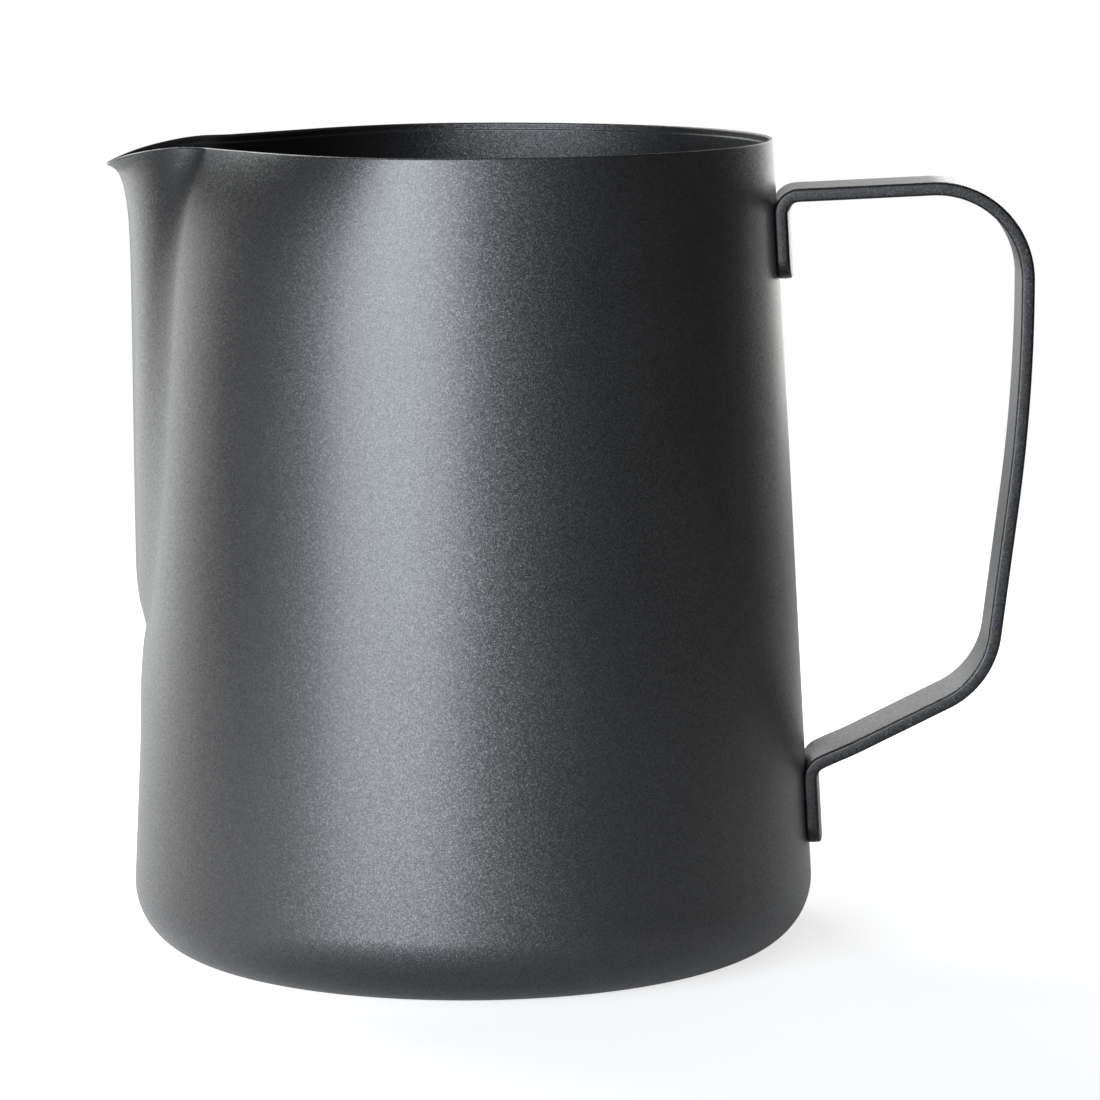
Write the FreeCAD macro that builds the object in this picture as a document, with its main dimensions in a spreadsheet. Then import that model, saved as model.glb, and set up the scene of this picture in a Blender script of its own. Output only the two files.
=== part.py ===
import FreeCAD, Part
import math
import os
import Sketcher

# Milk frothing pitcher: a deep-drawn steel cup with a pressed pouring spout, and
# a bent strap handle spot-welded to its wall.  Millimetres.  The cup's axis is Z
# and its base rests on z = 0; the handle points along +X and the spout along -X.

DIMENSIONS = {
    # cup, outside
    "height": 123.0,             # rim above the resting plane
    "rim_radius": 46.1,
    "root_radius": 52.6,         # wall line carried down to z = 0
    "heel_radius": 10.0,         # rounding between wall and base
    "wall_thickness": 0.8,
    # spout
    "press_height": 50.0,        # the wall is plain up to here
    "ridge_reach": 51.3,         # front of the spout, from the cup's axis
    "channel_radius_low": 23.0,
    "channel_radius_rim": 17.0,
    "channel_taper": -0.2,       # the channel first widens at this rate, then narrows
    "toe_height": 9.8,           # the ridge sinks into the wall over this height
    "toe_depth": 1.9,
    "crease_blend": 1.6,         # soft union of wall and channel
    "flank_pull": 5.5,           # wall drawn inwards beside the spout, at the rim
    "flank_angle": 39.0,         # where it is drawn in most, from the spout's middle
    "flank_span": 47.0,          # the draw fades out over this angle
    "flank_fade": 8.0,           # power by which the draw fades downwards
    # pouring lip
    "lip_drop": 3.6,             # tip below the rim
    "lip_start": 40.0,           # the rim starts to dip this far from the axis
    "lip_curl": 2.2,             # slow part of the outward flare at the tip
    "lip_curl_length": 3.9,
    "lip_edge": 1.3,             # quick part of the flare
    "lip_edge_length": 0.5,
    "lip_angle": 10.0,           # half angle of the flared tip
    "lip_turn": 36.0,            # angle of the arc that the dipping rim follows
    # handle strap
    "strap_width": 15.5,
    "strap_thickness": 2.0,
    "grip_reach": 84.2,          # centre line of the grip, from the cup's axis
    "grip_top_height": 116.4,    # centre line of the upper run, above the grip
    "upper_run_slope": 2.6,
    "upper_knuckle": 13.8,       # centre-line radius between upper run and grip
    "grip_knee_height": 84.5,    # the grip bends in here, on a long radius
    "grip_knee_radius": 265.0,
    "grip_low_reach": 78.7,      # corner between grip and lower run
    "grip_low_height": 40.9,
    "lower_run_slope": 26.5,
    "lower_knuckle": 13.2,
    "foot_bend_inside": 1.8,     # inside radius where a run turns into its foot
    "upper_foot_low": 102.2,     # free end of the upper foot
    "lower_foot_low": 15.8,      # free end of the lower foot
    "foot_corner": 2.6,
    "foot_bedding": 0.8,         # spare metal on the feet before they are fitted to the wall
    # spot welds
    "weld_diameter": 4.5,
    "weld_depth": 0.4,           # reaches this far into each sheet
    "weld_offset": 3.7,          # each side of the handle's middle plane
    "upper_weld_height": 107.4,
    "lower_weld_height": 21.2,
}

PLAN_POINTS = 72                 # points round one plan outline of the wall
# plan outlines above the plain wall, closer where the spout starts and flares
PLAN_LEVELS = [0.5, 1.5, 3.0, 6.0, 10.0, 20.0, 32.0, 44.0, 54.0, 60.0, 64.0, 67.0]
LIP_LEVELS = [0.9, 0.4, 0.1, -0.1]   # below the tip, where the lip curls out quickly
SPOUT_CROWDING = 0.6             # 0 spreads the plan points evenly

doc = FreeCAD.newDocument("frothing_pitcher")
sheet = doc.addObject("Spreadsheet::Sheet", "Sizes")
for row, (alias, number) in enumerate(DIMENSIONS.items(), start=1):
    sheet.set("A%d" % row, alias)
    sheet.set("B%d" % row, str(number))
    sheet.setAlias("B%d" % row, alias)
doc.recompute()


def size(alias):
    """Value of one driving dimension, read from the sheet."""
    return float(sheet.get(alias))


# ---------------------------------------------------------------- expressions

def cell(alias):
    return "Sizes." + alias


WALL_SLOPE = "((%s - %s) / %s)" % (cell("root_radius"), cell("rim_radius"), cell("height"))
STRAP = cell("strap_thickness")


def wall_text(height_text, outwards_text="0"):
    """Outside radius of the plain cup at a height, moved outwards."""
    return "(%s - %s * (%s) + %s)" % (cell("root_radius"), WALL_SLOPE, height_text, outwards_text)


class Run:
    """A straight run of the strap, seen from the side: a sloping centre line."""

    def __init__(self, reach, height, slope):
        self.reach = cell(reach)
        self.height = cell(height)
        self.slope = "tan(%s * 1 deg)" % cell(slope)
        self.half = "(%s / 2 / cos(%s * 1 deg))" % (STRAP, cell(slope))

    def height_text(self, radius_text, side="0"):
        """Height of the run at a radius; side is +1 for its top, -1 for its underside."""
        return "(%s + %s * (%s - %s) + %s * %s)" % (
            self.height, self.slope, radius_text, self.reach, side, self.half)

    def meets_wall(self, side, outwards_text):
        """Point where the run's top or underside meets the wall moved outwards."""
        top = "(%s + %s * %s + %s * (%s + %s - %s))" % (
            self.height, side, self.half, self.slope, cell("root_radius"), outwards_text, self.reach)
        z_text = "(%s / (1 + %s * %s))" % (top, self.slope, WALL_SLOPE)
        return wall_text(z_text, outwards_text), z_text


UPPER_RUN = Run("grip_reach", "grip_top_height", "upper_run_slope")
LOWER_RUN = Run("grip_low_reach", "grip_low_height", "lower_run_slope")
GRIP_LEAN = "((%s - %s) / (%s - %s))" % (
    cell("grip_reach"), cell("grip_low_reach"), cell("grip_knee_height"), cell("grip_low_height"))


# ------------------------------------------------------------------- sketches

def origin_plane(body, role):
    return [item for item in body.Origin.OriginFeatures if item.Role == role][0]


def new_sketch(body, name, role):
    sketch = body.newObject("Sketcher::SketchObject", name)
    sketch.AttachmentSupport = [(origin_plane(body, role), "")]
    sketch.MapMode = "FlatFace"
    return sketch


def number(sketch, text):
    return float(sketch.evalExpression(text))


def bind(sketch, constraint, text):
    index = sketch.addConstraint(constraint)
    sketch.setExpression("Constraints[%d]" % index, text)


def pin_point(sketch, geo, pos, x_text, y_text):
    """Hold a point of a sketch at two coordinates given as expressions."""
    for kind, text, axis in (("DistanceX", x_text, -2), ("DistanceY", y_text, -1)):
        if text == "0":
            sketch.addConstraint(Sketcher.Constraint("PointOnObject", geo, pos, axis))
            continue
        value = number(sketch, text)
        if value > 0:
            bind(sketch, Sketcher.Constraint(kind, -1, 1, geo, pos, value), text)
        else:
            bind(sketch, Sketcher.Constraint(kind, geo, pos, -1, 1, -value), "-1 * " + text)


def corner_arc(before, corner, after, radius):
    """Start, end and arc of the rounding of one corner."""
    towards_before = (before - corner).normalize()
    towards_after = (after - corner).normalize()
    half_angle = towards_before.getAngle(towards_after) / 2
    start = corner + towards_before * (radius / math.tan(half_angle))
    end = corner + towards_after * (radius / math.tan(half_angle))
    centre = corner + (towards_before + towards_after).normalize() * (radius / math.sin(half_angle))
    middle = centre + (corner - centre).normalize() * radius
    return start, end, Part.Arc(start, middle, end)


def draw_chain(sketch, corners, closed):
    """Draw straight lines through corners, some of them rounded by tangent arcs.

    A corner is (x, y) or (x, y, radius), each an expression.  Every corner is a
    construction point held by the sheet, and its lines and arc follow it.
    """
    count = len(corners)
    spots = [FreeCAD.Vector(number(sketch, c[0]), number(sketch, c[1]), 0) for c in corners]
    starts, ends, arcs = list(spots), list(spots), {}
    for i, corner in enumerate(corners):
        if len(corner) == 3:
            ends[i], starts[i], arc = corner_arc(
                spots[i - 1], spots[i], spots[(i + 1) % count], number(sketch, corner[2]))
            arcs[i] = sketch.addGeometry(arc)
    points = [sketch.addGeometry(Part.Point(spot), True) for spot in spots]
    line_count = count if closed else count - 1
    lines = []
    for i in range(line_count):
        j = (i + 1) % count
        lines.append(sketch.addGeometry(Part.LineSegment(starts[i], ends[j])))
    for i, point in enumerate(points):
        pin_point(sketch, point, 1, corners[i][0], corners[i][1])
    for i, line in enumerate(lines):
        for end_pos, j in ((1, i), (2, (i + 1) % count)):
            if j in arcs:
                sketch.addConstraint(Sketcher.Constraint("PointOnObject", points[j], 1, line))
            else:
                sketch.addConstraint(Sketcher.Constraint("Coincident", line, end_pos, points[j], 1))
    for i, arc in arcs.items():
        join_arc(sketch, arc, lines[i - 1], 2)
        join_arc(sketch, arc, lines[i], 1)
        bind(sketch, Sketcher.Constraint("Radius", arc, number(sketch, corners[i][2])), corners[i][2])


def join_arc(sketch, arc, line, line_pos):
    """Join one end of a line to the nearer end of an arc, tangentially."""
    target = sketch.getPoint(line, line_pos)
    gaps = [(sketch.getPoint(arc, pos) - target).Length for pos in (1, 2)]
    arc_pos = 1 if gaps[0] < gaps[1] else 2
    sketch.addConstraint(Sketcher.Constraint("Tangent", line, line_pos, arc, arc_pos))


# ----------------------------------------------------------- plan of the wall

def plain_radius(height):
    slope = (size("root_radius") - size("rim_radius")) / size("height")
    return size("root_radius") - slope * height


def flank_radius(angle, height):
    """Radius of the wall without its spout, drawn in beside the spout."""
    rise = (height - size("press_height")) / (size("height") - size("press_height"))
    if rise <= 0:
        return plain_radius(height)
    fade = (math.degrees(abs(angle)) - size("flank_angle")) / size("flank_span")
    share = 0.5 * (1 + math.cos(math.pi * min(1.0, fade)))
    return plain_radius(height) - size("flank_pull") * share * rise ** size("flank_fade")


def channel_radius(angle, height):
    """Radius of the spout, a round channel that narrows towards the rim."""
    above = height - size("press_height")
    full = size("height") - size("press_height")
    low, rim, taper = size("channel_radius_low"), size("channel_radius_rim"), size("channel_taper")
    radius = low - taper * above - (low - rim - taper * full) * (above / full) ** 2
    sink = min(1.0, max(0.0, 1 - above / size("toe_height")))
    reach = size("ridge_reach") - size("toe_depth") * (1 - math.sqrt(1 - sink ** 2))
    centre = reach - radius
    under_root = radius ** 2 - (centre * math.sin(angle)) ** 2
    if under_root <= 0 or math.cos(angle) <= 0:
        return 0.0
    return centre * math.cos(angle) + math.sqrt(under_root)


def lip_flare(angle, height):
    """How far the tip of the lip is turned out."""
    below = max(LIP_LEVELS[-1], size("height") - size("lip_drop") - height)
    curl = size("lip_curl") * math.exp(-below / size("lip_curl_length"))
    edge = size("lip_edge") * math.exp(-below / size("lip_edge_length"))
    return (curl + edge) * math.exp(-(math.degrees(angle) / size("lip_angle")) ** 2)


def outline_radius(angle, height):
    """Outside radius of the cup at an angle from the middle of the spout."""
    flank = flank_radius(angle, height)
    channel = channel_radius(angle, height)
    blend = size("crease_blend")
    near = max(0.0, 1 - abs(flank - channel) / blend)
    return max(flank, channel) + near ** 2 * blend / 4 + lip_flare(angle, height)


def outline_curve(height, inset):
    """Closed plan curve of the wall at a height, its points closer round the spout."""
    step = 1e-4
    points = []
    for i in range(PLAN_POINTS):
        turn = math.pi - 2 * math.pi * i / PLAN_POINTS
        angle = turn - SPOUT_CROWDING * math.sin(turn)
        radius = outline_radius(angle, height)
        growth = (outline_radius(angle + step, height) - radius) / step
        outwards = FreeCAD.Vector(
            -radius * math.cos(angle) - growth * math.sin(angle),
            radius * math.sin(angle) - growth * math.cos(angle), 0).normalize()
        spot = FreeCAD.Vector(-radius * math.cos(angle), radius * math.sin(angle), 0)
        points.append(spot - outwards * inset)
    curve = Part.BSplineCurve()
    curve.interpolate(Points=points, PeriodicFlag=True)
    return curve


def plan_heights(top):
    """Heights of the plan outlines above the first, plain one."""
    heights = [size("press_height") + above for above in PLAN_LEVELS]
    heights += [size("height") - size("lip_drop") - below for below in LIP_LEVELS]
    return heights + [top]


def wall_loft(body, name, inset_text, top_text):
    """Ruled loft of the pressed wall, from a plain circle up to a level top."""
    root = new_sketch(body, name + "_root", "XY_Plane")
    root.setExpression("AttachmentOffset.Base.z", cell("press_height"))
    radius_text = wall_text(cell("press_height"), "-1 * " + inset_text)
    ring = root.addGeometry(Part.Circle(FreeCAD.Vector(), FreeCAD.Vector(0, 0, 1), number(root, radius_text)))
    root.addConstraint(Sketcher.Constraint("Coincident", ring, 3, -1, 1))
    bind(root, Sketcher.Constraint("Radius", ring, number(root, radius_text)), radius_text)
    outlines = []
    for i, height in enumerate(plan_heights(number(root, top_text))):
        outline = new_sketch(body, "%s_plan_%d" % (name, i + 1), "XY_Plane")
        outline.AttachmentOffset = FreeCAD.Placement(FreeCAD.Vector(0, 0, height), FreeCAD.Rotation())
        outline.addGeometry(outline_curve(height, number(root, inset_text)))
        outlines.append(outline)
    loft = body.newObject("PartDesign::AdditiveLoft", name)
    loft.Profile = root
    loft.Sections = outlines
    loft.Ruled = True
    doc.recompute()
    return loft


# ------------------------------------------------------------------------ cup

def revolve(body, name, corners):
    """Turn a side view about the cup's axis."""
    sketch = new_sketch(body, name + "_side", "XZ_Plane")
    draw_chain(sketch, corners, closed=True)
    turned = body.newObject("PartDesign::Revolution", name)
    turned.Profile = sketch
    turned.ReferenceAxis = (sketch, ["V_Axis"])
    turned.Angle = 360
    doc.recompute()
    return turned


def cup_solid(name, inset_text, floor_text, heel_text, top_text):
    """One side of the sheet, as a solid: turned lower cup and pressed upper wall."""
    body = doc.addObject("PartDesign::Body", name)
    inwards = "-1 * " + inset_text
    revolve(body, name + "_lower", [
        ("0", floor_text),
        (wall_text(floor_text, inwards), floor_text, heel_text),
        (wall_text(cell("press_height"), inwards), cell("press_height")),
        ("0", cell("press_height")),
    ])
    wall_loft(body, name + "_upper", inset_text, top_text)
    return body


def make_rim_cutter():
    """Everything above the rim, which dips along an arc towards the pouring tip."""
    reach = "(%s + %s + %s - %s)" % (
        cell("ridge_reach"), cell("lip_curl"), cell("lip_edge"), cell("lip_start"))
    drop = cell("lip_drop")
    radius = "((%s ^ 2 + %s ^ 2) / (2 * %s))" % (reach, drop, drop)
    tangent = "(%s * tan(%s * 0.5 deg))" % (radius, cell("lip_turn"))
    turn = "%s * 1 deg" % cell("lip_turn")
    corner_x = "(-1 * (%s + %s))" % (cell("lip_start"), tangent)
    far_x = "(%s - 2 * %s * cos(%s))" % (corner_x, tangent, turn)
    far_z = "(%s - 2 * %s * sin(%s))" % (cell("height"), tangent, turn)
    above = "(%s + %s)" % (cell("height"), drop)
    beyond = "(1.2 * %s)" % cell("root_radius")
    body = doc.addObject("PartDesign::Body", "rim_cutter")
    sketch = new_sketch(body, "rim_side", "XZ_Plane")
    draw_chain(sketch, [
        (beyond, cell("height")),
        (corner_x, cell("height"), radius),
        (far_x, far_z),
        (far_x, above),
        (beyond, above),
    ], closed=True)
    block = body.newObject("PartDesign::Pad", "rim_block")
    block.Profile = sketch
    block.Midplane = True
    block.setExpression("Length", "3 * %s" % cell("root_radius"))
    doc.recompute()
    return body


def make_cup():
    above = "(%s + 1)" % cell("height")
    outside = cup_solid("cup_outside", "0", "0", cell("heel_radius"), above)
    trimmed = cut("cup_trimmed", outside, make_rim_cutter())
    wall = cell("wall_thickness")
    inside = cup_solid("cup_inside", wall, wall, "(%s - %s)" % (cell("heel_radius"), wall), above)
    return cut("cup", trimmed, inside)


# --------------------------------------------------------------------- handle

def knee_corner(side):
    """Corner between the upright and the leaning part of the grip, on one face."""
    half_turn = "tan(0.5 * atan(%s))" % GRIP_LEAN
    return ("(%s + %s * %s / 2)" % (cell("grip_reach"), side, STRAP),
            "(%s - %s * %s / 2 * %s)" % (cell("grip_knee_height"), side, STRAP, half_turn))


def low_corner(side):
    """Corner between the leaning grip and the lower run, on one face."""
    run = LOWER_RUN
    grip_face = "(%s - %s * %s + %s * %s / 2 * sqrt(1 + %s ^ 2))" % (
        cell("grip_reach"), GRIP_LEAN, cell("grip_knee_height"), side, STRAP, GRIP_LEAN)
    run_face = "(%s - %s * %s - %s * %s)" % (run.height, run.slope, run.reach, side, run.half)
    x_text = "((%s + %s * %s) / (1 - %s * %s))" % (grip_face, GRIP_LEAN, run_face, GRIP_LEAN, run.slope)
    return x_text, "(%s + %s * %s)" % (run_face, run.slope, x_text)


def strap_face(side):
    """Rounded corners along one face of the strap; side is +1 outside, -1 inside."""
    reach = "(%s + %s * %s / 2)" % (cell("grip_reach"), side, STRAP)
    top = (reach, UPPER_RUN.height_text(reach, side))
    corners = []
    for corner, radius in ((top, "upper_knuckle"), (knee_corner(side), "grip_knee_radius"),
                           (low_corner(side), "lower_knuckle")):
        corners.append(corner + ("(%s + %s * %s / 2)" % (cell(radius), side, STRAP),))
    return corners


def foot_corners(run, low_text):
    """Corners of one foot: bend at the wall, free end, and bend under the run."""
    spare = "(-1 * %s)" % cell("foot_bedding")
    outer_radius = "(%s + %s + %s)" % (cell("foot_bend_inside"), STRAP, cell("foot_bedding"))
    return [
        run.meets_wall("1", spare) + (outer_radius,),
        (wall_text(low_text, spare), low_text),
        (wall_text(low_text, STRAP), low_text),
        run.meets_wall("-1", STRAP) + (cell("foot_bend_inside"),),
    ]


def pad_strap(body):
    """The bent strap: its side view, as wide as the strap."""
    upper_foot = foot_corners(UPPER_RUN, cell("upper_foot_low"))
    lower_foot = foot_corners(LOWER_RUN, cell("lower_foot_low"))
    sketch = new_sketch(body, "strap_side", "XZ_Plane")
    corners = strap_face("1") + lower_foot[::-1] + strap_face("-1")[::-1] + upper_foot[::-1]
    draw_chain(sketch, corners, closed=True)
    pad = body.newObject("PartDesign::Pad", "strap_pad")
    pad.Profile = sketch
    pad.Midplane = True
    pad.setExpression("Length", cell("strap_width"))
    doc.recompute()


def fit_feet_to_wall(body):
    """Cut the feet to the cup's conical wall."""
    sketch = new_sketch(body, "cup_side", "XZ_Plane")
    draw_chain(sketch, [
        ("0", "0"),
        (cell("root_radius"), "0"),
        (cell("rim_radius"), cell("height")),
        ("0", cell("height")),
    ], closed=True)
    groove = body.newObject("PartDesign::Groove", "cup_groove")
    groove.Profile = sketch
    groove.ReferenceAxis = (sketch, ["V_Axis"])
    groove.Angle = 360
    before = body.Shape.Volume
    doc.recompute()
    if body.Shape.Volume >= before:
        raise RuntimeError("the feet were not cut to the wall")


def round_foot_corners(body):
    """Round the two corners at the free end of each foot."""
    edge_names = []
    half_width = size("strap_width") / 2
    for i, edge in enumerate(body.Shape.Edges):
        ends = [vertex.Point for vertex in edge.Vertexes]
        for alias in ("upper_foot_low", "lower_foot_low"):
            at_end = all(abs(point.z - size(alias)) < 0.01 for point in ends)
            at_side = all(abs(abs(point.y) - half_width) < 0.01 for point in ends)
            if at_end and at_side and edge.Length < 2 * size("strap_thickness"):
                edge_names.append("Edge%d" % (i + 1))
    if len(edge_names) != 4:
        raise RuntimeError("found %d foot corners instead of 4" % len(edge_names))
    strap_pad = body.Tip
    rounding = body.newObject("PartDesign::Fillet", "foot_corners")
    rounding.Base = (strap_pad, edge_names)
    rounding.setExpression("Radius", cell("foot_corner"))
    doc.recompute()


def make_strap():
    body = doc.addObject("PartDesign::Body", "strap")
    pad_strap(body)
    round_foot_corners(body)
    fit_feet_to_wall(body)
    return body


# ---------------------------------------------------------------------- welds

def weld_nugget(name, height, side):
    """A disc of weld metal across the joint, square to the wall."""
    lean = math.atan2(size("root_radius") - size("rim_radius"), size("height"))
    radius = plain_radius(height)
    around = side * math.asin(size("weld_offset") / radius)
    outwards = FreeCAD.Vector(
        math.cos(lean) * math.cos(around), math.cos(lean) * math.sin(around), math.sin(lean))
    spot = FreeCAD.Vector(radius * math.cos(around), radius * math.sin(around), height)
    nugget = doc.addObject("Part::Cylinder", name)
    nugget.setExpression("Radius", "%s / 2" % cell("weld_diameter"))
    nugget.setExpression("Height", "2 * %s" % cell("weld_depth"))
    nugget.Placement = FreeCAD.Placement(
        spot - outwards * size("weld_depth"), FreeCAD.Rotation(FreeCAD.Vector(0, 0, 1), outwards))
    return nugget


def make_welds(name, height_alias):
    height = size(height_alias)
    pair = doc.addObject("Part::MultiFuse", name)
    pair.Shapes = [weld_nugget("%s_nugget_%d" % (name, i), height, side)
                   for i, side in ((1, -1), (2, 1))]
    return pair


def cut(name, base, tool):
    piece = doc.addObject("Part::Cut", name)
    piece.Base = base
    piece.Tool = tool
    doc.recompute()
    return piece


# -------------------------------------------------------------------- assembly

upper_welds = make_welds("upper_spot_welds", "upper_weld_height")
lower_welds = make_welds("lower_spot_welds", "lower_weld_height")
all_welds = doc.addObject("Part::MultiFuse", "weld_sites")
all_welds.Shapes = [upper_welds, lower_welds]

body_shell = cut("body_shell", make_cup(), all_welds)
handle_strap = cut("handle_strap", make_strap(), all_welds)
doc.recompute()

for item in doc.Objects:
    if "Invalid" in item.State or "Error" in item.State:
        raise RuntimeError("%s failed: %s" % (item.Name, item.State))

os.makedirs("parts", exist_ok=True)
for piece in (body_shell, handle_strap, upper_welds, lower_welds):
    shape = piece.Shape
    if shape.isNull() or not shape.isValid():
        raise RuntimeError("%s has no valid shape" % piece.Label)
    shape.exportStep("parts/%s.step" % piece.Label)
    print("%s: %d solid(s), %.1f mm3" % (piece.Label, len(shape.Solids), shape.Volume))
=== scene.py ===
"""A milk frothing pitcher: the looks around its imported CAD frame.

Shapes are worked out in millimetres and turned into metres when a mesh is made.
The studio's lengths are in metres. Angles are in degrees where they are named numbers.
+X points to the handle, -X to the spout, +Z up, and z = 0 is what the pitcher stands on.
"""

import math

import bpy
import numpy as np
from mathutils import Matrix, Vector


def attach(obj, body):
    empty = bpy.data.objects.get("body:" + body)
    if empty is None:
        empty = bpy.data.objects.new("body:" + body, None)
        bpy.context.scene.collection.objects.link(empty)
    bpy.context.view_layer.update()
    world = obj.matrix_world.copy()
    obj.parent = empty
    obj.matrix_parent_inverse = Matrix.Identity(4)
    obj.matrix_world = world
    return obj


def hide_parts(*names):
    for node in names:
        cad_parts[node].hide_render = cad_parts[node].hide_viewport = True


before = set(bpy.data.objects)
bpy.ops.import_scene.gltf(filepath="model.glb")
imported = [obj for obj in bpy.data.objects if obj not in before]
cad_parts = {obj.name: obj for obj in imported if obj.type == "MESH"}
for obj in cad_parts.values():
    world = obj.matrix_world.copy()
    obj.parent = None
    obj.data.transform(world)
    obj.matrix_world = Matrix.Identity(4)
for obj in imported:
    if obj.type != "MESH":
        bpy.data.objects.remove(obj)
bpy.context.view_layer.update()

MM = 0.001

# ------------------------------------------------------------------ the vessel, millimetres

HEIGHT = 123.0
RIM_RADIUS = 46.1
ROOT_RADIUS = 52.6          # the wall's line carried down to z = 0
WALL_SLOPE = (ROOT_RADIUS - RIM_RADIUS) / HEIGHT
HEEL_RADIUS = 10.0
WALL = 0.8                  # thickness of the sheet

PRESS_HEIGHT = 50.0         # the wall is plain up to here
RIDGE_REACH = 51.3          # front of the spout, from the vessel's axis
CHANNEL_LOW = 23.0          # plan radius of the spout where it starts
CHANNEL_RIM = 17.0          # and at the rim
CHANNEL_TAPER = -0.2        # what that radius loses per millimetre of height where it starts
TOE_HEIGHT = 9.8            # the ridge sinks into the wall over this height
TOE_DEPTH = 1.9             # and by this much
CREASE_BLEND = 1.6          # spout and wall blend where they are nearer to each other than this
FLANK_PULL = 5.5            # wall drawn in beside the spout, at the rim
FLANK_ANGLE = 39.0          # most at this angle from the spout, in degrees
FLANK_SPAN = 47.0           # and not at all this far past it
FLANK_FADE = 8.0            # power of the height by which it fades downwards
LIP_DROP = 3.6              # the rim dips by this much to the tip of the lip
LIP_START = 40.0            # from this distance in front of the vessel's axis
RIM_EDGE = 0.26             # rounding of both edges of the rim
RIM_RELIEF = 0.14           # the inside of the rim is thinned by this much
RIM_RELIEF_DEPTH = 1.05     # down to a fine step this far below the rim
RIM_STEP = 0.25
DIP_START = 96.0            # rows of the wall above this height follow the dip of the rim
DIP_POWER = 1.5             # and do so more and more towards the rim
LIP_CURL, LIP_CURL_LENGTH = 2.2, 3.9    # how far the lip curls out, and over what depth it fades
LIP_EDGE, LIP_EDGE_LENGTH = 1.3, 0.5    # the same for the sharper turn at its very edge
LIP_OVERRUN = 0.15          # the flare still grows this far above the rim
LIP_ANGLE = 10.0            # half of the lip's width, in degrees round the vessel
TIP_REACH = RIDGE_REACH + LIP_CURL + LIP_EDGE
DENT_DEPTH = 0.45           # the press leaves a dent under the spout's toe
DENT_HEIGHT = 50.2
DENT_SPAN, DENT_ANGLE = 2.2, 9.0        # its half-height, and its half-width in degrees
BULGE = 0.3                 # and a faint swelling below it
BULGE_HEIGHT = 41.0
BULGE_SPAN, BULGE_ANGLE = 6.0, 13.0

COLUMNS = 432               # columns of vertices round the vessel
CROWDING = 0.62             # draws them together round the spout
HALVINGS = 30               # steps of the search for a point's height
HEEL_STEPS = 30             # rows of vertices round the heel
EDGE_STEPS = 5              # and round each edge of the rim
BASE_SHARES = (0.02, 0.1, 0.25, 0.45, 0.65, 0.82, 0.93, 0.98)     # rings of the flat base
# the height that each band of rows of the wall goes up to, and its number of rows
WALL_BANDS = ((36.0, 12), (64.0, 56), (108.0, 36), (117.0, 18),
              (HEIGHT - 1.5, 22), (HEIGHT - 0.3, 15))
LOWEST_ROW = HEEL_RADIUS - 0.6          # they start here, and those within the heel are left out
ROW_GAP = 0.2               # least height between the heel's last row and the wall's first
RIM_SAMPLE = 0.2            # depth below the rim where its surface normal is read


def plain_radius(z):
    """Outside radius of the plain tapered wall."""
    return ROOT_RADIUS - WALL_SLOPE * z


def flank_radius(theta, z):
    """The wall without the spout, drawn in a little on both sides of it."""
    rise = np.clip((z - PRESS_HEIGHT) / (HEIGHT - PRESS_HEIGHT), 0, None)
    fade = np.minimum(1, (np.degrees(np.abs(theta)) - FLANK_ANGLE) / FLANK_SPAN)
    share = 0.5 * (1 + np.cos(np.pi * fade))
    return plain_radius(z) - FLANK_PULL * share * rise ** FLANK_FADE


def channel_radius(theta, z):
    """The pressed spout, round in plan, or 0 where it doesn't reach."""
    above = z - PRESS_HEIGHT
    full = HEIGHT - PRESS_HEIGHT
    bend = CHANNEL_LOW - CHANNEL_RIM - CHANNEL_TAPER * full
    radius = CHANNEL_LOW - CHANNEL_TAPER * above - bend * (above / full) ** 2
    sink = np.clip(1 - above / TOE_HEIGHT, 0, 1)
    reach = RIDGE_REACH - TOE_DEPTH * (1 - np.sqrt(1 - sink ** 2))
    centre = reach - radius
    under_root = radius ** 2 - (centre * np.sin(theta)) ** 2
    inside = (under_root > 0) & (np.cos(theta) > 0) & (above > 0)
    return np.where(inside, centre * np.cos(theta) + np.sqrt(np.maximum(under_root, 0)), 0)


def lip_flare(theta, z, wall):
    """How far the lip is turned out, by the depth below the rim at this angle."""
    share = np.exp(-(np.degrees(theta) / LIP_ANGLE) ** 2)
    rim = rim_height(-(wall + (LIP_CURL + LIP_EDGE) * share) * np.cos(theta))
    below = np.maximum(-LIP_OVERRUN, rim - z)
    curl = LIP_CURL * np.exp(-below / LIP_CURL_LENGTH)
    edge = LIP_EDGE * np.exp(-below / LIP_EDGE_LENGTH)
    return (curl + edge) * share


def toe_marks(theta, z):
    """The dent under the toe of the spout and the faint swelling below the dent."""
    across = np.degrees(theta)
    dent = DENT_DEPTH * np.exp(-((z - DENT_HEIGHT) / DENT_SPAN) ** 2 - (across / DENT_ANGLE) ** 2)
    bulge = BULGE * np.exp(-((z - BULGE_HEIGHT) / BULGE_SPAN) ** 2 - (across / BULGE_ANGLE) ** 2)
    return bulge - dent


def wall_radius(theta, z):
    """Outside radius of the wall at an angle from the middle of the spout."""
    flank = flank_radius(theta, z)
    channel = channel_radius(theta, z)
    near = np.clip(1 - np.abs(flank - channel) / CREASE_BLEND, 0, None)
    blended = np.maximum(flank, channel) + near ** 2 * CREASE_BLEND / 4
    return blended + lip_flare(theta, z, blended) + toe_marks(theta, z)


def rim_height(x):
    """The rim is level, then dips along an arc to the tip of the lip."""
    span = TIP_REACH - LIP_START
    radius = (span ** 2 + LIP_DROP ** 2) / (2 * LIP_DROP)
    past = np.clip(-x - LIP_START, 0, 0.98 * radius)     # short of where the arc would end
    return HEIGHT - radius + np.sqrt(radius ** 2 - past ** 2)


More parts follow.
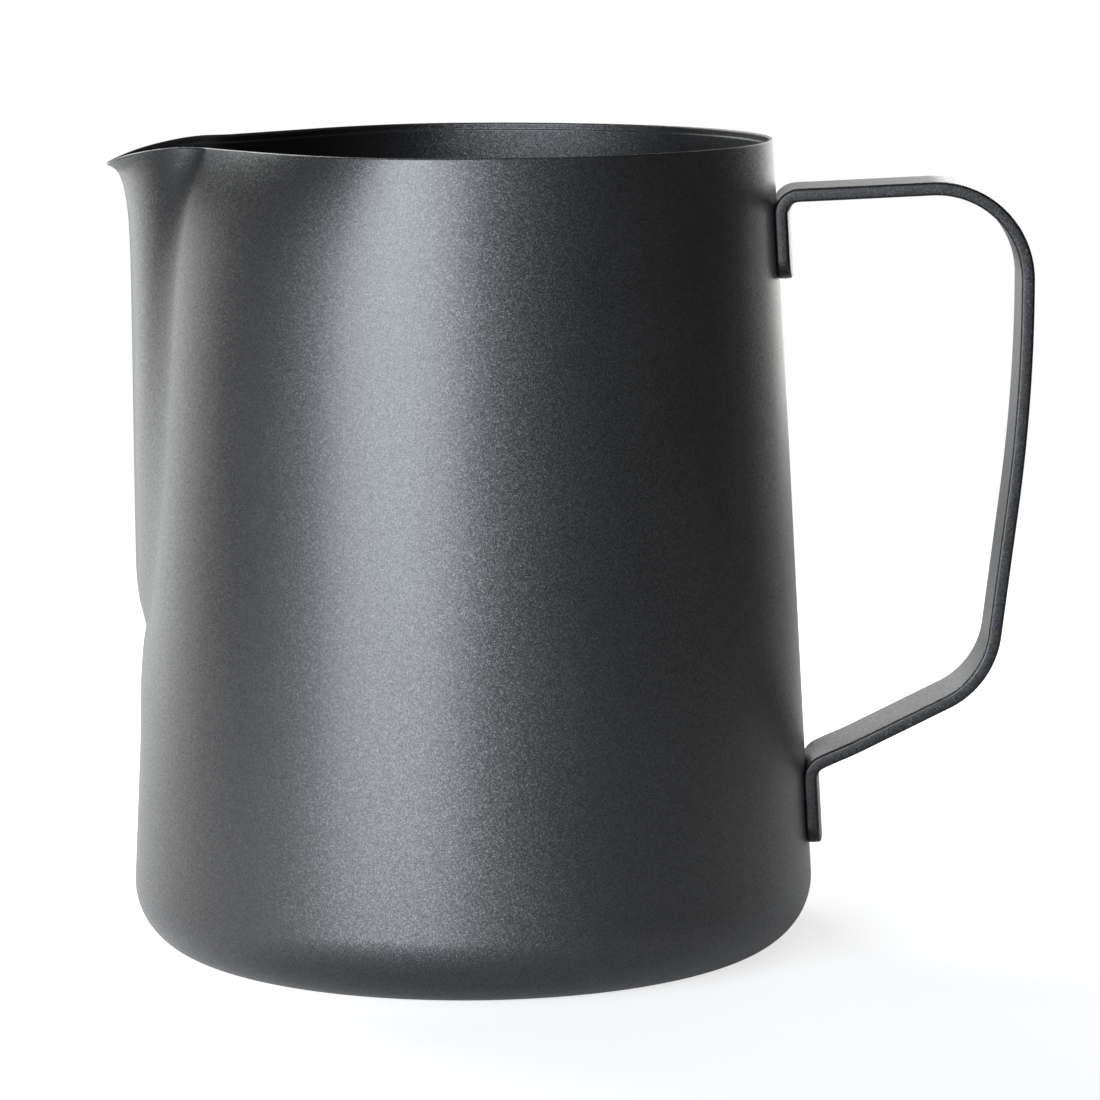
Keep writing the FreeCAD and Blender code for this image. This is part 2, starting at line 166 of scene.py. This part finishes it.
def column_angles():
    """Angles of the columns from the middle of the spout."""
    turn = np.linspace(-np.pi, np.pi, COLUMNS, endpoint=False)
    return turn - CROWDING * np.sin(turn)


def wall_point(theta, z):
    """The point of the outside at that angle and height."""
    radius = wall_radius(theta, z)
    return np.stack([-radius * np.cos(theta), radius * np.sin(theta), z + 0 * radius], axis=-1)


def outside_point(theta, level):
    """A point of the outside. level is its height, except that the levels above DIP_START
    are drawn down with the dip of the rim. The height is found by halving."""
    share = np.clip((level - DIP_START) / (HEIGHT - DIP_START), 0, 1) ** DIP_POWER
    low = level - 1.2 * LIP_DROP + 0 * theta             # a little more than the whole dip
    high = level + 0 * theta
    for _ in range(HALVINGS):
        z = (low + high) / 2
        dip = HEIGHT - rim_height(-wall_radius(theta, z) * np.cos(theta))
        too_high = z > level - share * dip
        high = np.where(too_high, z, high)
        low = np.where(too_high, low, z)
    return wall_point(theta, (low + high) / 2)


def surface_normal(place, theta, level):
    """Unit normal of the surface that place(theta, level) draws, from small steps both ways."""
    step_t, step_l = 1e-4, 1e-3
    along = place(theta + step_t, level) - place(theta - step_t, level)
    up = place(theta, level + step_l) - place(theta, level - step_l)
    normal = np.cross(up, along)
    return normal / np.linalg.norm(normal, axis=-1, keepdims=True)


def wall_levels():
    """Heights of the rows of the wall above the heel, closer at the toe and under the rim."""
    low, bands = LOWEST_ROW, []
    for high, rows in WALL_BANDS:
        bands.append(np.linspace(low, high, rows + 1)[1:])
        low = high
    return np.concatenate(bands)


def sheet_thickness(level):
    """Thickness of the wall: thinner above a fine step just under the rim."""
    past = np.clip((level - HEIGHT + RIM_RELIEF_DEPTH) / RIM_STEP + 0.5, 0, 1)
    return WALL - RIM_RELIEF * past * past * (3 - 2 * past)


def heel_profile(radius, floor):
    """Radius of the flat base, and (radius, height) pairs from there to the heel's top.
    floor is 0 for the outside of the sheet and its thickness for the inside."""
    lean = math.atan(WALL_SLOPE)
    centre_z = floor + radius
    centre_r = plain_radius(centre_z) - floor / math.cos(lean) - radius / math.cos(lean)
    turns = np.linspace(-math.pi / 2, lean, HEEL_STEPS)
    ring = [(centre_r + radius * math.cos(t), centre_z + radius * math.sin(t)) for t in turns]
    return centre_r, ring


def mesh_object(name, vertices, faces):
    """A smooth-shaded object from vertices in millimetres."""
    mesh = bpy.data.meshes.new(name)
    mesh.from_pydata((np.asarray(vertices) * MM).tolist(), [], faces)
    mesh.validate()
    mesh.update()
    mesh.shade_smooth()
    piece = bpy.data.objects.new(name, mesh)
    bpy.context.scene.collection.objects.link(piece)
    return piece


def ring_faces(first, second, count, flip=False):
    """Quads between two closed rings of vertices, given by the index of their first vertex."""
    quads = []
    for i in range(count):
        j = (i + 1) % count
        quad = (first + i, first + j, second + j, second + i)
        quads.append(quad[::-1] if flip else quad)
    return quads


def vessel_rings():
    """Closed rings of points, from the middle of the base on the outside, up the wall
    and over the rim, to the middle of the base on the inside."""
    theta = column_angles()
    rings = []

    def plain_ring(radius, z):
        ring = [-radius * np.cos(theta), radius * np.sin(theta), z + 0 * theta]
        rings.append(np.stack(ring, axis=-1))

    flat_out, heel_out = heel_profile(HEEL_RADIUS, 0.0)
    flat_in, heel_in = heel_profile(HEEL_RADIUS - WALL, WALL)
    for share in BASE_SHARES:
        plain_ring(flat_out * share, 0.0)
    for radius, z in heel_out:
        plain_ring(radius, z)

    levels = [level for level in wall_levels() if level > heel_out[-1][1] + ROW_GAP]
    outside = [outside_point(theta, level) for level in levels]
    normals = [surface_normal(outside_point, theta, level) for level in levels]
    rings.extend(outside)

    rim_sheet = sheet_thickness(HEIGHT)
    rim_out = outside_point(theta, HEIGHT)
    rim_normal = surface_normal(outside_point, theta, HEIGHT - RIM_SAMPLE)
    up = np.cross(rim_normal, np.roll(rim_out, -1, axis=0) - np.roll(rim_out, 1, axis=0))
    up /= np.linalg.norm(up, axis=-1, keepdims=True)
    up *= np.sign(up[:, 2:3])
    for turn in np.linspace(0, math.pi / 2, EDGE_STEPS):
        rings.append(rim_out - rim_normal * RIM_EDGE * (1 - math.cos(turn))
                     - up * RIM_EDGE * (1 - math.sin(turn)))
    for turn in np.linspace(math.pi / 2, 0, EDGE_STEPS):
        rings.append(rim_out - rim_normal * (rim_sheet - RIM_EDGE * (1 - math.cos(turn)))
                     - up * RIM_EDGE * (1 - math.sin(turn)))
    for level, points, normal in zip(levels[::-1], outside[::-1], normals[::-1]):
        rings.append(points - normal * sheet_thickness(level))
    for radius, z in heel_in[::-1]:
        plain_ring(radius, z)
    for share in BASE_SHARES[::-1]:
        plain_ring(flat_in * share, WALL)
    return rings


def make_vessel():
    """Joins the rings with quads and closes both sides of the base with a fan."""
    rings = vessel_rings()
    count = len(rings[0])
    vertices = np.concatenate(rings)
    faces = []
    for i in range(len(rings) - 1):
        faces.extend(ring_faces(i * count, (i + 1) * count, count, flip=True))
    last = (len(rings) - 1) * count
    bottom, inside = len(vertices), len(vertices) + 1
    vertices = np.concatenate([vertices, [[0, 0, 0], [0, 0, WALL]]])
    for i in range(count):
        j = (i + 1) % count
        faces.append((bottom, j, i))
        faces.append((inside, last + i, last + j))
    return mesh_object("pitcher_vessel", vertices, faces)


# ------------------------------------------------------------------ the handle, millimetres

STRAP_WIDTH = 15.5
STRAP = 2.0                 # thickness
# corners and bend radii of the line along the middle of the strap's thickness
GRIP_REACH = 84.2           # the grip's upper part, from the vessel's axis
GRIP_TOP = 116.4
UPPER_SLOPE = math.tan(math.radians(2.6))
UPPER_KNUCKLE = 13.8
KNEE_HEIGHT = 84.5          # the grip leans in below here
KNEE_RADIUS = 265.0
LOW_REACH = 78.7            # corner between the grip and the lower run
LOW_HEIGHT = 40.9
LOWER_SLOPE = math.tan(math.radians(26.5))
LOWER_KNUCKLE = 13.2
FOOT_BEND = 1.8 + STRAP / 2
UPPER_FOOT_LOW = 102.2      # heights where the feet end
LOWER_FOOT_LOW = 15.8
FOOT_CORNER = 2.6           # rounding of a foot's two corners
STRAP_EDGE = 0.42           # rounding along the strap's edges
EDGE_LIMIT = 0.95           # that rounding is at most this share of half the thickness
HUG_WHOLE, HUG_FADE = 1.75, 5.0     # the strap is curved round the wall this near to it, then less

PATH_STEP = 0.55            # distance between sections along the strap
LEAST_PIECES = 6            # of an arc
END_SECTIONS = 16           # extra sections near each free end
END_MARGIN = 0.2            # which go this far past the corner's rounding
END_GAP = 0.3               # and keep this far from the other sections
STRAP_COLUMNS = 17          # vertices across the strap
EDGE_TURNS = 6              # and round each of its edges


def foot_line(z):
    """Middle of a foot's thickness, seen from the side."""
    return plain_radius(z) + STRAP / 2 / math.cos(math.atan(WALL_SLOPE))


def run_meets_foot(reach, height, slope):
    """Where a straight run from that corner, at that slope, reaches the line of a foot."""
    z = (height + slope * (foot_line(0) - reach)) / (1 + slope * WALL_SLOPE)
    return foot_line(z), z


def rounded_path(corners, step):
    """Points along straight runs joined by tangent arcs: (x, z) pairs a step apart.
    A corner is (x, z, radius)."""
    points = []
    for i, corner in enumerate(corners):
        spot = np.array(corner[:2])
        if i in (0, len(corners) - 1):
            points.append(spot)
            continue
        before = np.array(corners[i - 1][:2]) - spot
        after = np.array(corners[i + 1][:2]) - spot
        before /= np.linalg.norm(before)
        after /= np.linalg.norm(after)
        turn = math.pi - math.acos(np.clip(before @ after, -1, 1))
        reach = corner[2] * math.tan(turn / 2)
        middle = before + after
        middle /= np.linalg.norm(middle)
        centre = spot + middle * corner[2] / math.cos(turn / 2)
        start = spot + before * reach - centre
        side = math.copysign(1, start[0] * (spot - centre)[1] - start[1] * (spot - centre)[0])
        pieces = max(LEAST_PIECES, int(corner[2] * turn / step))
        for k in range(pieces + 1):
            a = side * turn * k / pieces
            c, s = math.cos(a), math.sin(a)
            turned = np.array([c * start[0] - s * start[1], s * start[0] + c * start[1]])
            points.append(centre + turned)
    path = [points[0]]
    for spot in points[1:]:
        gap = np.linalg.norm(spot - path[-1])
        pieces = max(1, int(math.ceil(gap / step - 1e-6)))
        start = path[-1]
        for k in range(1, pieces + 1):
            path.append(start + (spot - start) * k / pieces)
    return np.array(path)


def strap_path():
    """Middle line of the strap from the upper foot's end to the lower foot's end."""
    upper_x, upper_z = run_meets_foot(GRIP_REACH, GRIP_TOP, UPPER_SLOPE)
    lower_x, lower_z = run_meets_foot(LOW_REACH, LOW_HEIGHT, LOWER_SLOPE)
    corners = [
        (foot_line(UPPER_FOOT_LOW), UPPER_FOOT_LOW),
        (upper_x, upper_z, FOOT_BEND),
        (GRIP_REACH, GRIP_TOP, UPPER_KNUCKLE),
        (GRIP_REACH, KNEE_HEIGHT, KNEE_RADIUS),
        (LOW_REACH, LOW_HEIGHT, LOWER_KNUCKLE),
        (lower_x, lower_z, FOOT_BEND),
        (foot_line(LOWER_FOOT_LOW), LOWER_FOOT_LOW),
    ]
    return rounded_path(corners, PATH_STEP)


def refine_ends(path):
    """Adds stations close to both free ends, where the corners and edges are rounded.
    Returns the stations' distances along the strap, its length and the stations' places."""
    near = (1 - np.cos(np.linspace(0, math.pi / 2, END_SECTIONS))) * (FOOT_CORNER + END_MARGIN)
    length = np.concatenate([[0], np.cumsum(np.linalg.norm(np.diff(path, axis=0), axis=1))])
    total = length[-1]
    inner = length[(length > near[-1] + END_GAP) & (length < total - near[-1] - END_GAP)]
    stations = np.concatenate([near, inner, (total - near)[::-1]])
    spots = np.stack([np.interp(stations, length, path[:, k]) for k in (0, 1)], axis=-1)
    return stations, total, spots


def section_ring(half_width, half_thick, edge):
    """(across, through) pairs round one section of the strap, its edges rounded."""
    flat = half_width - edge
    across = np.linspace(-flat, flat, STRAP_COLUMNS)
    turns = np.linspace(0, math.pi / 2, EDGE_TURNS)[1:-1]
    side = half_thick - edge
    ring = [(y, half_thick) for y in across]
    ring += [(flat + edge * math.sin(t), side + edge * math.cos(t)) for t in turns]
    ring += [(half_width, side), (half_width, 0.0), (half_width, -side)]
    ring += [(flat + edge * math.cos(t), -side - edge * math.sin(t)) for t in turns]
    ring += [(y, -half_thick) for y in across[::-1]]
    ring += [(-flat - edge * math.sin(t), -side - edge * math.cos(t)) for t in turns]
    ring += [(-half_width, -side), (-half_width, 0.0), (-half_width, side)]
    ring += [(-flat - edge * math.cos(t), side + edge * math.sin(t)) for t in turns]
    return np.array(ring)


def end_rounding(distance, radius):
    """How far a rounded corner of that radius draws in at a distance from the end."""
    if distance >= radius:
        return 0.0
    return radius - math.sqrt(max(0.0, radius ** 2 - (radius - distance) ** 2))


def make_strap():
    """Sweeps the section along the path; near the wall the section is curved to fit it."""
    stations, total, spots = refine_ends(strap_path())
    tangent = np.gradient(spots, stations, axis=0)
    tangent /= np.linalg.norm(tangent, axis=1, keepdims=True)
    outward = np.stack([tangent[:, 1], -tangent[:, 0]], axis=-1)
    rings = []
    for i, station in enumerate(stations):
        from_end = min(station, total - station)
        half_width = STRAP_WIDTH / 2 - end_rounding(from_end, FOOT_CORNER)
        half_thick = STRAP / 2 - end_rounding(from_end, STRAP_EDGE)
        ring = section_ring(half_width, half_thick, min(STRAP_EDGE, half_thick * EDGE_LIMIT))
        away = spots[i, 0] - foot_line(spots[i, 1])
        hug = float(np.clip(1 + (HUG_WHOLE - away) / HUG_FADE, 0, 1))
        hug = hug * hug * (3 - 2 * hug)
        radius = plain_radius(spots[i, 1]) + STRAP / 2
        sag = hug * (radius - np.sqrt(radius ** 2 - ring[:, 0] ** 2))
        x = spots[i, 0] + outward[i, 0] * ring[:, 1] - sag
        z = spots[i, 1] + outward[i, 1] * ring[:, 1]
        rings.append(np.stack([x, ring[:, 0], z], axis=-1))
    count = len(rings[0])
    vertices = np.concatenate(rings)
    faces = []
    for i in range(len(rings) - 1):
        faces.extend(ring_faces(i * count, (i + 1) * count, count))
    faces.append(tuple(range(count))[::-1])
    faces.append(tuple(range((len(rings) - 1) * count, len(rings) * count)))
    return mesh_object("pitcher_strap", vertices, faces)


# ------------------------------------------------------------------ materials

COATING_COLOUR = (0.10, 0.10, 0.10)
COATING_ROUGHNESS = 0.50
COATING_METAL = 0.95
BINDER_ROUGHNESS = 0.35     # the clear binder over the flakes
BODY_FLAKES, BODY_CONTRAST = 7200.0, 0.80       # flakes per metre, and their spread of lightness
STRAP_FLAKES, STRAP_CONTRAST = 5400.0, 1.60
FLAKE_SHADE = 0.90          # the flakes' mean lightness, as a share of the coating's colour
FLAKE_TILT = 0.34           # spread of the flakes' normals
CLOUDS = 70.0               # scale of the film's slow drift
LIGHTNESS_DRIFT, ROUGHNESS_DRIFT = 0.16, 0.06
EDGE_PAINTED_SHADE = 0.30           # painted shade: the strap's edges, the faces that look along Y, are darkened to this share
EDGE_SHADE_FACING = (0.5, 0.9)    # that painted shade sets in as the Y of a face's normal grows from the first number to the second

WELD_RIPPLES = 1500.0
WELD_RIPPLE_DEPTH = 0.00005
WELD_STEEL, WELD_STRAW = (0.42, 0.41, 0.39, 1), (0.55, 0.48, 0.36, 1)
WELD_ROUGHNESS = 0.4


def new_material(name):
    """A material with no node but its output: returns it, its nodes and links, and the
    socket that its surface shader goes into."""
    material = bpy.data.materials.new(name)
    material.use_nodes = True
    nodes = material.node_tree.nodes
    nodes.clear()
    output = nodes.new("ShaderNodeOutputMaterial")
    return material, nodes, material.node_tree.links, output.inputs["Surface"]


def feed(links, item, socket):
    """Links another socket to this one, or sets it to a number or triple."""
    if isinstance(item, bpy.types.NodeSocket):
        links.new(item, socket)
    else:
        socket.default_value = item


def value_node(nodes, links, operation, *inputs):
    """Result of a math node whose inputs are numbers or sockets."""
    node = nodes.new("ShaderNodeMath")
    node.operation = operation
    for i, item in enumerate(inputs):
        feed(links, item, node.inputs[i])
    return node.outputs["Value"]


def vector_node(nodes, links, operation, *inputs, scale=None, result="Vector"):
    """Result of a vector math node whose inputs are triples or sockets. Only SCALE has a scale."""
    node = nodes.new("ShaderNodeVectorMath")
    node.operation = operation
    for i, item in enumerate(inputs):
        feed(links, item, node.inputs[i])
    if scale is not None:
        feed(links, scale, node.inputs["Scale"])
    return node.outputs[result]


def smooth_range(nodes, links, value, start, end, low=0.0, high=1.0):
    """Goes smoothly from low to high as the value goes from start to end."""
    node = nodes.new("ShaderNodeMapRange")
    node.interpolation_type = "SMOOTHSTEP"
    for socket, item in (("Value", value), ("From Min", start), ("From Max", end),
                         ("To Min", low), ("To Max", high)):
        feed(links, item, node.inputs[socket])
    return node.outputs["Result"]


def flake_coating(name, flakes_per_metre, contrast, side_painted_shade=1.0):
    """Semi-matt charcoal coating: fine metallic flakes that each lie at a slightly different tilt.
    contrast is how much lighter the palest flakes are than the darkest, and side_painted_shade is
    painted shade that darkens the faces that look straight along Y, such as a strap's edges."""
    material, nodes, links, surface = new_material(name)
    shader = nodes.new("ShaderNodeBsdfPrincipled")
    links.new(shader.outputs["BSDF"], surface)
    place = nodes.new("ShaderNodeTexCoord")

    flakes = nodes.new("ShaderNodeTexVoronoi")
    flakes.inputs["Scale"].default_value = flakes_per_metre
    links.new(place.outputs["Object"], flakes.inputs["Vector"])

    clouds = nodes.new("ShaderNodeTexNoise")
    clouds.inputs["Scale"].default_value = CLOUDS
    clouds.inputs["Detail"].default_value = 3.0
    links.new(place.outputs["Object"], clouds.inputs["Vector"])

    # tilt of each flake, added to the surface's own normal
    centred = vector_node(nodes, links, "SUBTRACT", flakes.outputs["Color"], (0.5, 0.5, 0.5))
    tilt = vector_node(nodes, links, "SCALE", centred, scale=FLAKE_TILT)
    geometry = nodes.new("ShaderNodeNewGeometry")
    leaning = vector_node(nodes, links, "ADD", geometry.outputs["Normal"], tilt)
    links.new(vector_node(nodes, links, "NORMALIZE", leaning), shader.inputs["Normal"])

    # each flake is a little lighter or darker, and the film drifts faintly over centimetres
    split = nodes.new("ShaderNodeSeparateColor")
    links.new(flakes.outputs["Color"], split.inputs["Color"])
    shade = value_node(nodes, links, "MULTIPLY_ADD", split.outputs["Green"],
                       contrast, FLAKE_SHADE - contrast / 2)
    drift = value_node(nodes, links, "MULTIPLY_ADD", clouds.outputs["Fac"],
                       LIGHTNESS_DRIFT, 1 - LIGHTNESS_DRIFT / 2)
    film = value_node(nodes, links, "MULTIPLY", shade, drift)
    # painted shade: faces that look along Y, such as the strap's edges, are darkened to
    # side_painted_shade
    axes = nodes.new("ShaderNodeSeparateXYZ")
    links.new(place.outputs["Normal"], axes.inputs["Vector"])
    facing = value_node(nodes, links, "ABSOLUTE", axes.outputs["Y"])
    side = smooth_range(nodes, links, facing, *EDGE_SHADE_FACING, 1.0, side_painted_shade)
    strength = value_node(nodes, links, "MULTIPLY", film, side)
    tint = vector_node(nodes, links, "SCALE", COATING_COLOUR, scale=strength)
    links.new(tint, shader.inputs["Base Color"])

    rough = value_node(nodes, links, "MULTIPLY_ADD", clouds.outputs["Fac"],
                       ROUGHNESS_DRIFT, COATING_ROUGHNESS - ROUGHNESS_DRIFT / 2)
    links.new(rough, shader.inputs["Roughness"])
    shader.inputs["Metallic"].default_value = COATING_METAL
    shader.inputs["Coat Weight"].default_value = 1.0
    shader.inputs["Coat Roughness"].default_value = BINDER_ROUGHNESS
    return material


def weld_metal():
    """Bare fused steel with a faint straw heat tint."""
    material, nodes, links, surface = new_material("weld_metal")
    shader = nodes.new("ShaderNodeBsdfPrincipled")
    links.new(shader.outputs["BSDF"], surface)
    place = nodes.new("ShaderNodeTexCoord")
    ripple = nodes.new("ShaderNodeTexNoise")
    ripple.inputs["Scale"].default_value = WELD_RIPPLES
    ripple.inputs["Detail"].default_value = 4.0
    links.new(place.outputs["Object"], ripple.inputs["Vector"])
    tint = nodes.new("ShaderNodeValToRGB")
    tint.color_ramp.elements[0].color = WELD_STEEL
    tint.color_ramp.elements[1].color = WELD_STRAW
    links.new(ripple.outputs["Fac"], tint.inputs["Fac"])
    links.new(tint.outputs["Color"], shader.inputs["Base Color"])
    bump = nodes.new("ShaderNodeBump")
    bump.inputs["Strength"].default_value = 0.3
    bump.inputs["Distance"].default_value = WELD_RIPPLE_DEPTH
    links.new(ripple.outputs["Fac"], bump.inputs["Height"])
    links.new(bump.outputs["Normal"], shader.inputs["Normal"])
    shader.inputs["Metallic"].default_value = 1.0
    shader.inputs["Roughness"].default_value = WELD_ROUGHNESS
    return material


def paint(piece, material):
    """Gives the whole piece this one material."""
    piece.data.materials.clear()
    piece.data.materials.append(material)


# ------------------------------------------------------------------ studio

FLOOR_RADIUS = 0.55
FLOOR_CORNERS = 96
FLOOR_COLOUR = (0.82, 0.82, 0.82, 1)
FLOOR_ROUGHNESS, FLOOR_GLOSS = 0.95, 0.1
FLOOR_FADE = (0.35, 0.98)   # shares of the radius between which the floor fades out
FLOOR_GLOW = 0.66           # lifts the floor, as the camera sees it, to the pale surroundings
FRONT_GLOW, BACK_GLOW = 0.06, 0.60      # light that the floor itself gives off, least in front
GLOW_AXIS = (-0.8, 0.6, 0.0)            # it grows along this line, which leads back and left
GLOW_RANGE = (-0.04, 0.08)

SURROUNDINGS_COLOUR = (1.0, 0.96, 0.92, 1)
SURROUNDINGS_LIGHT = 0.024

# where the camera stands and how it is turned
CAMERA_PLACE = (0.0, -0.74243, 0.16667)
CAMERA_PITCH, CAMERA_YAW, CAMERA_ROLL = 8.162, 0.931, 0.302
CAMERA_LENS, CAMERA_SENSOR = 160.38, 36.0       # these two in millimetres
PITCHER_TURN = 2.2          # the pitcher is turned by this much before that camera


def make_floor():
    """A round pale sheet under the pitcher that fades out at its rim into the pale surroundings."""
    bpy.ops.mesh.primitive_circle_add(
        vertices=FLOOR_CORNERS, radius=FLOOR_RADIUS, fill_type="NGON", location=(0, 0, 0))
    floor = bpy.context.object
    floor.name = "studio_floor"
    material, nodes, links, surface = new_material("studio_floor")
    shader = nodes.new("ShaderNodeBsdfPrincipled")
    shader.inputs["Base Color"].default_value = FLOOR_COLOUR
    shader.inputs["Roughness"].default_value = FLOOR_ROUGHNESS
    shader.inputs["Specular IOR Level"].default_value = FLOOR_GLOSS
    place = nodes.new("ShaderNodeTexCoord").outputs["Object"]
    along = vector_node(nodes, links, "DOT_PRODUCT", place, GLOW_AXIS, result="Value")
    behind = smooth_range(nodes, links, along, *GLOW_RANGE, FRONT_GLOW, BACK_GLOW)
    path = nodes.new("ShaderNodeLightPath")
    glow = value_node(nodes, links, "MULTIPLY_ADD", path.outputs["Is Camera Ray"],
                      FLOOR_GLOW, behind)
    shader.inputs["Emission Color"].default_value = (1, 1, 1, 1)
    links.new(glow, shader.inputs["Emission Strength"])

    clear = nodes.new("ShaderNodeBsdfTransparent")
    reach = vector_node(nodes, links, "LENGTH", place, result="Value")
    start, end = FLOOR_FADE
    fade = smooth_range(nodes, links, reach, start * FLOOR_RADIUS, end * FLOOR_RADIUS)
    mix = nodes.new("ShaderNodeMixShader")
    links.new(fade, mix.inputs["Fac"])
    links.new(shader.outputs["BSDF"], mix.inputs[1])
    links.new(clear.outputs["BSDF"], mix.inputs[2])
    links.new(mix.outputs["Shader"], surface)
    paint(floor, material)


def softbox(name, azimuth, elevation, distance, width, height, radiance, colour):
    """A soft rectangular light aimed at the middle of the pitcher, angles in degrees.
    Azimuth 0 is the camera's side and 90 the handle's."""
    turn, rise = math.radians(azimuth), math.radians(elevation)
    aim = Vector((0, 0, HEIGHT / 2 * MM))
    spot = aim + distance * Vector((
        math.sin(turn) * math.cos(rise), -math.cos(turn) * math.cos(rise), math.sin(rise)))
    data = bpy.data.lights.new(name, "AREA")
    data.shape = "RECTANGLE"
    data.size = width
    data.size_y = height
    data.energy = radiance * math.pi * width * height
    data.color = colour
    lamp = bpy.data.objects.new(name, data)
    lamp.location = spot
    lamp.rotation_euler = (aim - spot).to_track_quat("-Z", "Y").to_euler()
    lamp.visible_camera = False
    bpy.context.scene.collection.objects.link(lamp)


def make_world():
    """White surroundings as the camera sees them, which light the pitcher only a little."""
    world = bpy.data.worlds.new("studio")
    bpy.context.scene.world = world
    world.use_nodes = True
    nodes, links = world.node_tree.nodes, world.node_tree.links
    shown = nodes["Background"]
    shown.inputs["Color"].default_value = (1, 1, 1, 1)
    shown.inputs["Strength"].default_value = 1.0
    fill = nodes.new("ShaderNodeBackground")
    fill.inputs["Color"].default_value = SURROUNDINGS_COLOUR
    fill.inputs["Strength"].default_value = SURROUNDINGS_LIGHT
    path = nodes.new("ShaderNodeLightPath")
    mix = nodes.new("ShaderNodeMixShader")
    links.new(path.outputs["Is Camera Ray"], mix.inputs["Fac"])
    links.new(fill.outputs["Background"], mix.inputs[1])
    links.new(shown.outputs["Background"], mix.inputs[2])
    links.new(mix.outputs["Shader"], nodes["World Output"].inputs["Surface"])


def make_camera():
    """The camera stands in front of the pitcher's side, 0.74 m away, looking slightly down."""
    turn = math.radians(PITCHER_TURN)
    pitch, yaw, roll = map(math.radians, (CAMERA_PITCH, CAMERA_YAW, CAMERA_ROLL))
    to_object = np.array([
        [math.cos(turn), math.sin(turn), 0],
        [-math.sin(turn), math.cos(turn), 0],
        [0, 0, 1],
    ]).T
    level = math.cos(pitch)
    forward = np.array([math.sin(yaw) * level, math.cos(yaw) * level, -math.sin(pitch)])
    right = np.array([math.cos(yaw), -math.sin(yaw), 0])
    down = np.cross(forward, right)
    c, s = math.cos(roll), math.sin(roll)
    right, down = c * right + s * down, -s * right + c * down
    place = to_object @ np.array(CAMERA_PLACE)
    axes = [to_object @ right, -(to_object @ down), -(to_object @ forward)]
    data = bpy.data.cameras.new("camera")
    data.lens = CAMERA_LENS
    data.sensor_width = CAMERA_SENSOR
    camera = bpy.data.objects.new("camera", data)
    matrix = Matrix.Identity(4)
    for k, axis in enumerate(axes):
        for row in range(3):
            matrix[row][k] = axis[row]
    for row in range(3):
        matrix[row][3] = place[row]
    camera.matrix_world = matrix
    bpy.context.scene.collection.objects.link(camera)
    bpy.context.scene.camera = camera


# ------------------------------------------------------------------ assembly

body_coating = flake_coating("body_coating", BODY_FLAKES, BODY_CONTRAST)
handle_coating = flake_coating("handle_coating", STRAP_FLAKES, STRAP_CONTRAST, EDGE_PAINTED_SHADE)

vessel = make_vessel()
paint(vessel, body_coating)
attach(vessel, "root")
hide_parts("body_shell")

strap = make_strap()
paint(strap, handle_coating)
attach(strap, "root")
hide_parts("handle_strap")

metal = weld_metal()
for node in ("upper_spot_welds", "lower_spot_welds"):
    paint(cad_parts[node], metal)

make_floor()
make_world()
# name, azimuth, elevation, distance, width, height, radiance, colour
softbox("key_softbox", -24, 7, 1.2, 0.98, 0.54, 9.9, (0.87, 0.92, 1.0))
softbox("left_softbox", -119, -1, 1.2, 0.60, 0.55, 1.35, (1.0, 1.0, 1.0))
softbox("back_left_softbox", -141, -4, 1.2, 0.60, 0.55, 1.6, (0.96, 0.99, 1.0))
softbox("high_back_left_softbox", -145, 34, 1.2, 0.60, 0.51, 5.0, (0.96, 0.99, 1.0))
softbox("back_softbox", 180, 8, 1.2, 0.55, 0.55, 0.85, (1.0, 1.0, 1.0))
softbox("back_right_softbox", 160, 8, 1.2, 0.55, 0.55, 2.4, (1.0, 0.99, 0.97))
softbox("right_softbox", 134, 8, 1.2, 0.55, 0.55, 0.35, (1.0, 1.0, 1.0))
softbox("overhead_softbox", 180, 86, 1.1, 0.8, 0.8, 0.12, (1.0, 1.0, 1.0))
softbox("high_front_softbox", 0, 60, 1.1, 0.9, 0.5, 0.5, (0.96, 0.98, 1.0))
make_camera()
bpy.context.scene.view_settings.view_transform = "Standard"
